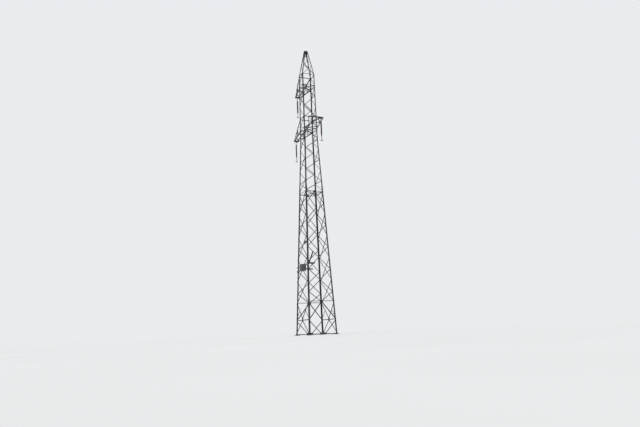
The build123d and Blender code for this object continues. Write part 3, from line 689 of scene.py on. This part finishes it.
def clamp(acc, zw, length, r, w, deep, tall, d):
    """Suspension clamp with a round bore: trough below, keeper above, ears and
    bolts between them."""
    def trough(x):
        e = abs(x) / length
        hw = w * (0.93 - 0.25 * e * e)
        lo = -(deep - (deep - r - 0.0052) * e ** 1.7)
        g = r + 0.0006 + 0.0022 * max(0.0, e - 0.86) / 0.14
        side = 0.2 * r + 0.004
        out = [(x, hw * math.cos(math.radians(a)), side + (lo - side) * abs(math.sin(math.radians(a))) ** 0.9)
               for a in range(0, -181, -12)]
        inn = [(x, g * math.cos(math.radians(a)), g * math.sin(math.radians(a))) for a in range(180, 361, 15)]
        return (out + [(x, -g, side)] + inn + [(x, g, side)])[::-1]

    def keeper(x):
        e = abs(x) / (0.42 * length)
        hw, top = w * 0.82, tall * (1 - 0.35 * e * e)
        g, side = r + 0.0006, 0.2 * r + 0.006
        out = [(x, hw * math.cos(math.radians(a)), side + (top - side) * math.sin(math.radians(a)) ** 0.8)
               for a in range(0, 181, 12)]
        inn = [(x, g * math.cos(math.radians(a)), g * math.sin(math.radians(a))) for a in range(180, -1, -15)]
        return out + [(x, -g, side)] + inn + [(x, g, side)]

    loft(acc, [trough(length * i / 14) for i in range(-14, 15)], zw)
    loft(acc, [keeper(0.42 * length * i / 8) for i in range(-8, 9)], zw)
    ex, h = 0.28 * length, 0.9 * r
    for sx in (-1, 1):
        for z0, z1 in ((-h, 0.2 * r + 0.003), (0.2 * r + 0.007, 0.2 * r + 0.016)):
            pts = [(-0.013, -w), (0.013, -w), (0.016, -w + 0.004), (0.016, w - 0.004), (0.013, w), (-0.013, w),
                   (-0.016, w - 0.004), (-0.016, -w + 0.004)]
            flat(acc, pts, zw + EX * (sx * ex), EX, EY, EZ, z0, z1)
        for sy in (-1, 1):
            p = zw + EX * (sx * ex) + EY * (sy * (w - 0.0095))
            head(acc, p - EZ * h, -EZ, d)
            nut(acc, p + EZ * (0.2 * r + 0.016), EZ, d)
            rod(acc, p - EZ * h, p + EZ * (0.2 * r + 0.016), SIZES[d][4], 10)


def insulator(k, c):
    body = f"string_{k}"
    z1, z2, n = -0.293, -1.387, 21
    pitch = (z1 - z2) / n
    shed = [(39.0, 7.0), (40.5, 9.5), (45.5, 12.6), (54.0, 17.0), (63.0, 21.6), (70.5, 25.4), (74.5, 28.2), (75.8, 30.4),
            (75.2, 32.8), (73.2, 34.0), (71.0, 33.4), (69.0, 31.9), (64.0, 30.4), (55.0, 29.2), (47.5, 29.6),
            (42.2, 32.2), (39.6, 36.4)]
    prof = [(0.0392, z1)]
    for i in range(n):
        top = z1 - i * pitch
        prof += [(r / 1000, top - d / 1000) for r, d in shed]
    prof.append((0.0392, z2))
    prof = prof[::-1]
    acc = Acc()
    v, fcs = turned(prof, 36)
    acc.add(v + np.array(c), fcs, smooth=True)
    o = acc.object(f"string_{k}_porcelain", body, PORCELAIN, "porcelain")
    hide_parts(f"string_{k}_insulator")
    cem = Acc()
    for z, s in ((z1, -1), (z2, 1)):
        pr = [(0.0392, s * 0.0), (0.0475, s * 0.0005), (0.0470, s * 0.004), (0.0430, s * 0.007), (0.0392, s * 0.009)]
        if s < 0:
            pr = pr[::-1]
        v, fcs = turned([(r, z + d) for r, d in pr], 32)
        cem.add(v + np.array(c), fcs, smooth=True)
    cem.object(f"string_{k}_cement", body, CEMENT)
    # caps, clevis, twin links and suspension clamp, in place of the plain ones
    fit = Acc()
    for z, sg in ((z1, 1), (z2, -1)):
        pr = [(0.0500, 0.0), (0.0535, 0.0012), (0.0545, 0.004), (0.0545, 0.010), (0.0530, 0.0125), (0.0515, 0.016),
              (0.0500, 0.040), (0.0495, 0.060), (0.0505, 0.068), (0.0525, 0.072), (0.0535, 0.078), (0.0520, 0.084),
              (0.0480, 0.088), (0.0400, 0.093), (0.0290, 0.099), (0.0220, 0.107), (0.0190, 0.116), (0.0, 0.116)]
        pr = [(r, z + sg * h) for r, h in pr]
        if sg < 0:
            pr = pr[::-1]
        v, fcs = turned(pr, 40)
        fit.add(v + np.array(c), fcs, smooth=True)
    zc = c - EZ * 0.138
    flat(fit, fork(0.020, 0.022, 0.012, -0.058, 0.010), zc, EY, EZ, EX, -0.018, 0.018)
    for sg in (-1, 1):
        flat(fit, arc(0, 0, 0.020, 0, 180, 12), zc - EZ * 0.0002, EX, EZ, EY * sg, 0.012, 0.022)
        flat(fit, [(-0.020, 0), (0.020, 0), (0.018, -0.020), (-0.018, -0.020)], zc, EX, EZ, EY * sg, 0.0122, 0.0219)
    rod(fit, zc - EY * 0.0225, zc + EY * 0.0225, 0.011, 20)
    head(fit, zc - EY * 0.022, -EY, 20)
    nut(fit, zc + EY * 0.022, EY, 20)
    eye, foot = -1.535, -1.845
    flat(fit, arc(0, eye, 0.021, 180, 360, 12) + [(0.019, -1.488), (-0.019, -1.488)], c, EY, EZ, EX, -0.006, 0.006)
    for sg in (-1, 1):
        flat(fit, link(0.025, eye, foot), c, EY, EZ, EX * sg, 0.0064, 0.0140)
    for z in (eye, foot):
        p = c + EZ * z
        bolt(fit, p - EX * 0.0140, p + EX * 0.0140, 16)
        rod(fit, p - EX * 0.0140, p + EX * 0.0140, 0.0079, 12)
    p = c + EZ * ((eye + foot) / 2)
    rod(fit, p - EX * 0.0064, p + EX * 0.0064, 0.013, 16)
    bolt(fit, p - EX * 0.0140, p + EX * 0.0140, 12)
    flat(fit, arc(0, foot, 0.022, 0, 180, 12) + [(-0.020, -1.878), (0.020, -1.878)], c, EY, EZ, EX, -0.006, 0.006)
    clamp(fit, c - EZ * 1.900, 0.150, 0.0115, 0.028, 0.0298, 0.030, 12)
    o = fit.object(f"string_{k}_hardware", body, FORGED, "forged_fittings")
    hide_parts(f"string_{k}_fittings")
    # shackle
    sh = Acc()
    flat(sh, fork(0.020, 0.022, 0.012, -0.102, 0.011), c, EX, EZ, EY, -0.018, 0.018)
    for sg in (-1, 1):
        flat(sh, arc(0, 0, 0.020, 0, 180, 12), c - EZ * 0.0002, EY, EZ, EX * sg, 0.012, 0.022)
        flat(sh, [(-0.020, 0), (0.020, 0), (0.018, -0.030), (-0.018, -0.030)], c, EY, EZ, EX * sg, 0.0122, 0.0219)
    flat(sh, [(0.021, -0.096), (-0.021, -0.096)] + arc(0, -0.138, 0.0215, 180, 360, 12), c, EX, EZ, EY, -0.007, 0.007)
    rod(sh, c - EX * 0.0225, c + EX * 0.0225, 0.011, 20)
    head(sh, c - EX * 0.022, -EX, 20)
    nut(sh, c + EX * 0.022, EX, 20)
    o = sh.object(f"string_{k}_shackle_forging", f"string_{k}_link", FORGED, "forged_fittings")
    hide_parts(f"string_{k}_shackle")


for k, c in PIVOTS.items():
    insulator(k, c)

# head of the peak: nuts on the cross pin and bolts of the seat plate
eh = Acc()
pin = Vector((AX, AY, 25.730))
for sg in (-1, 1):
    nut(eh, pin + EX * (sg * 0.088), EX * sg, 20)
for sx in (-0.116, 0.116):
    for sy in (-0.085, 0.085):
        p = Vector((AX + sx, AY + sy, Z_PEAK + 0.012))
        head(eh, p, EZ, 16)
eh.object("earth_head_nuts", "tower", FORGED, "forged_fittings")
ec = Acc()
eye, foot = 0.0, -0.365
for sg in (-1, 1):
    v = [(0.0128 * math.cos(math.radians(a)), 0.0128 * math.sin(math.radians(a))) for a in range(90, -271, -20)]
    ring = arc(0, 0, 0.0245, 90, 450, 18)
    acc_pts = ring + v
    flat(ec, acc_pts, pin, EY, EZ, EX * sg, 0.0, 0.0078)
flat(ec, [(-0.016, -0.016), (0.016, -0.016)] + arc(0, foot, 0.016, 360, 180, 10), pin, EY, EZ, EX, -0.0070, 0.0070)
clamp(ec, pin - EZ * 0.420, 0.090, 0.0063, 0.0218, 0.0215, 0.0260, 12)
flat(ec, arc(0, foot, 0.017, 0, 180, 12) + [(-0.015, -0.405), (0.015, -0.405)], pin, EY, EZ, EX, -0.0079, 0.0079)
o = ec.object("earth_clamp_detail", "earth_clamp", FORGED, "forged_fittings")
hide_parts("earth_wire_clamp")

# --------------------------------------------------- rails, cabinet, small box
rb = Acc()
BOX_Z, RAIL_N = 5.500, 0.068
f = Side("left", 0.0, Z_WAIST)
g = Side("front", 0.0, Z_WAIST)
for z, t in ((BOX_Z - 0.160, 0.008), (BOX_Z + 0.190, 0.006)):
    for sg in (-1, 1):
        for e in (0.040, 0.082):
            p = f.at(sg * (f.half(z) - e), z) + f.up * 0.028
            bolt(rb, p + f.n * (RAIL_N + t), p - f.n * (0.012 * f.cos), 16)
for z in (BOX_Z - 0.200, BOX_Z + 0.290):
    for e in (0.040, 0.082):
        p = g.at(-(g.half(z) - e), z) + g.up * 0.029
        bolt(rb, p + g.n * (RAIL_N + 0.008), p - g.n * (0.012 * g.cos), 16)
zj = 7.680
for e in (0.030, 0.080):
    p = f.at(f.half(zj) - e, zj - 0.020) + f.up * 0.025
    bolt(rb, p + f.n * 0.006, p - f.n * (0.012 * f.cos), 12)
# strap
za, zb = 5.887, 6.855
sa = -(g.half(za) - 0.120)
d0, d1 = NODES_FB[1], NODES_FB[2]
w0, w1 = g.half(d0) - G_LOW, -(g.half(d1) - G_LOW)
sb = w0 + (w1 - w0) * (zb - d0) / (d1 - d0)
bolt(rb, g.at(sa - 0.010, za - 0.012, 0.006), g.at(sa - 0.010, za - 0.012, -0.012 * g.cos), 16)
bolt(rb, g.at(sb, zb, 0.006), g.at(sb, zb, -0.012 * g.cos - 0.006), 16)
rb.object("rail_bolts", "tower", BOLTS, "galvanised_steel")

# cabinet: hood, hinges, latch and a pressed rim on the door
BW, BH, BD = 0.600, 0.540, 0.370
o = f.at(f.half(BOX_Z) - 0.345, BOX_Z, RAIL_N + 0.050) - f.es * (BW / 2) - f.up * (BH / 2)
cab = Acc()
cab.block(o + f.es * -0.012 + f.up * (BH + 0.0005), f.es * (BW + 0.024), f.up * 0.004, f.n * (BD - 0.001))
for u0 in (0.115, 0.385):
    for i in range(3):
        p = o + f.es * -0.0135 + f.up * (u0 + i * 0.0235) + f.n * (BD - 0.0205)
        v, fc = lathe([(0.0062, 0.0), (0.0070, 0.001), (0.0070, 0.021), (0.0062, 0.022)], 14)
        cab.add(v, fc, frame_at(p, f.up))
    q = o + f.es * -0.0085 + f.up * u0 + f.n * (BD - 0.060)
    cab.block(q, f.es * 0.003, f.up * 0.070, f.n * 0.040)
# latch case on the door's free edge, and a shallow pressed rim on the door
q = o + f.es * (BW - 0.052) + f.up * 0.380 + f.n * (BD - 0.017)
cab.block(q, f.es * 0.034, f.up * 0.080, f.n * 0.006)
v, fc = lathe([(0.011, 0.0), (0.011, 0.004), (0.009, 0.0055)], 18)
cab.add(v, fc, frame_at(q + f.es * 0.017 + f.up * 0.052 + f.n * 0.006, f.n))
for e0, e1, u0, u1 in ((0.03, BW - 0.07, 0.090, 0.096), (0.03, BW - 0.07, BH - 0.041, BH - 0.035),
                       (0.03, 0.036, 0.090, BH - 0.035), (BW - 0.076, BW - 0.07, 0.090, BH - 0.035)):
    cab.block(o + f.es * e0 + f.up * u0 + f.n * (BD - 0.017), f.es * (e1 - e0), f.up * (u1 - u0), f.n * 0.003)
# lid seam and screws of the small box
oj = f.at(0.705, zj - 0.130, 0.006)
cab.block(oj + f.es * -0.004 + f.up * -0.004 + f.n * 0.092, f.es * 0.138, f.up * 0.268, f.n * 0.008)
for e in (0.012, 0.118):
    for u in (0.014, 0.246):
        v, fc = lathe([(0.006, 0.0), (0.006, 0.003), (0.0045, 0.0042)], 12)
        cab.add(v, fc, frame_at(oj + f.es * e + f.up * u + f.n * 0.120, f.n))
cab.object("cabinet_trim", "tower", PAINT, "box_paint")
# carriers behind the cabinet, from rail to rail
car = Acc()
for e in (0.080, 0.480):
    car.block(o + f.es * e - f.up * 0.010 - f.n * 0.0005, f.es * 0.040, f.up * (BH + 0.020), f.n * -0.0045)
car.object("cabinet_carriers", "tower", STEEL, "galvanised_steel")

# ----------------------------------------------------------- floor and light
def floor():
    acc = Acc()
    n, r = 96, 420.0
    v = [(AX + r * math.cos(2 * math.pi * i / n), AY + r * math.sin(2 * math.pi * i / n), 0.0) for i in range(n)]
    me = bpy.data.meshes.new("floor")
    me.from_pydata(v, [], [tuple(range(n))])
    o = bpy.data.objects.new("floor", me)
    bpy.context.scene.collection.objects.link(o)
    m, nt, bs, obj = material("pale_floor")
    c = noise(nt, obj, 0.25, 3, 0.5)
    nt.links.new(ramp(nt, c, [(0.2, (0.66, 0.66, 0.65)), (0.8, (0.70, 0.70, 0.69))]), bs.inputs["Base Color"])
    bs.inputs["Roughness"].default_value = 0.9
    bs.inputs["Specular IOR Level"].default_value = 0.2
    me.materials.append(m)


floor()
world = bpy.data.worlds.new("studio")
bpy.context.scene.world = world
world.use_nodes = True
bg = world.node_tree.nodes["Background"]
bg.inputs["Color"].default_value = (0.86, 0.885, 0.91, 1)
bg.inputs["Strength"].default_value = 0.95
for name, rot, power, angle in (("key", (math.radians(52), 0, math.radians(-62)), 1.5, 0.5),
                                ("fill", (math.radians(60), 0, math.radians(75)), 0.5, 0.8)):
    sun = bpy.data.lights.new(name, "SUN")
    sun.energy, sun.angle = power, angle
    so = bpy.data.objects.new(name, sun)
    so.rotation_euler = rot
    bpy.context.scene.collection.objects.link(so)
bpy.context.scene.view_settings.view_transform = "Standard"

# ---------------------------------------------------------------------- camera
cam = bpy.data.cameras.new("camera")
cam.sensor_width, cam.lens = 36.0, 36.0 * 550 / 640
cam.clip_start, cam.clip_end = 0.1, 2000.0
co = bpy.data.objects.new("camera", cam)
bpy.context.scene.collection.objects.link(co)
co.location = Vector((AX - 17.61, AY - 43.56, 0.25))
az, pitch, roll = math.radians(22.88), math.radians(12.12), math.radians(2.40)
fwd = Vector((math.sin(az) * math.cos(pitch), math.cos(az) * math.cos(pitch), math.sin(pitch)))
q = fwd.to_track_quat("-Z", "Y") @ Quaternion((0, 0, 1), -roll)
co.rotation_mode = "QUATERNION"
co.rotation_quaternion = q
bpy.context.scene.camera = co
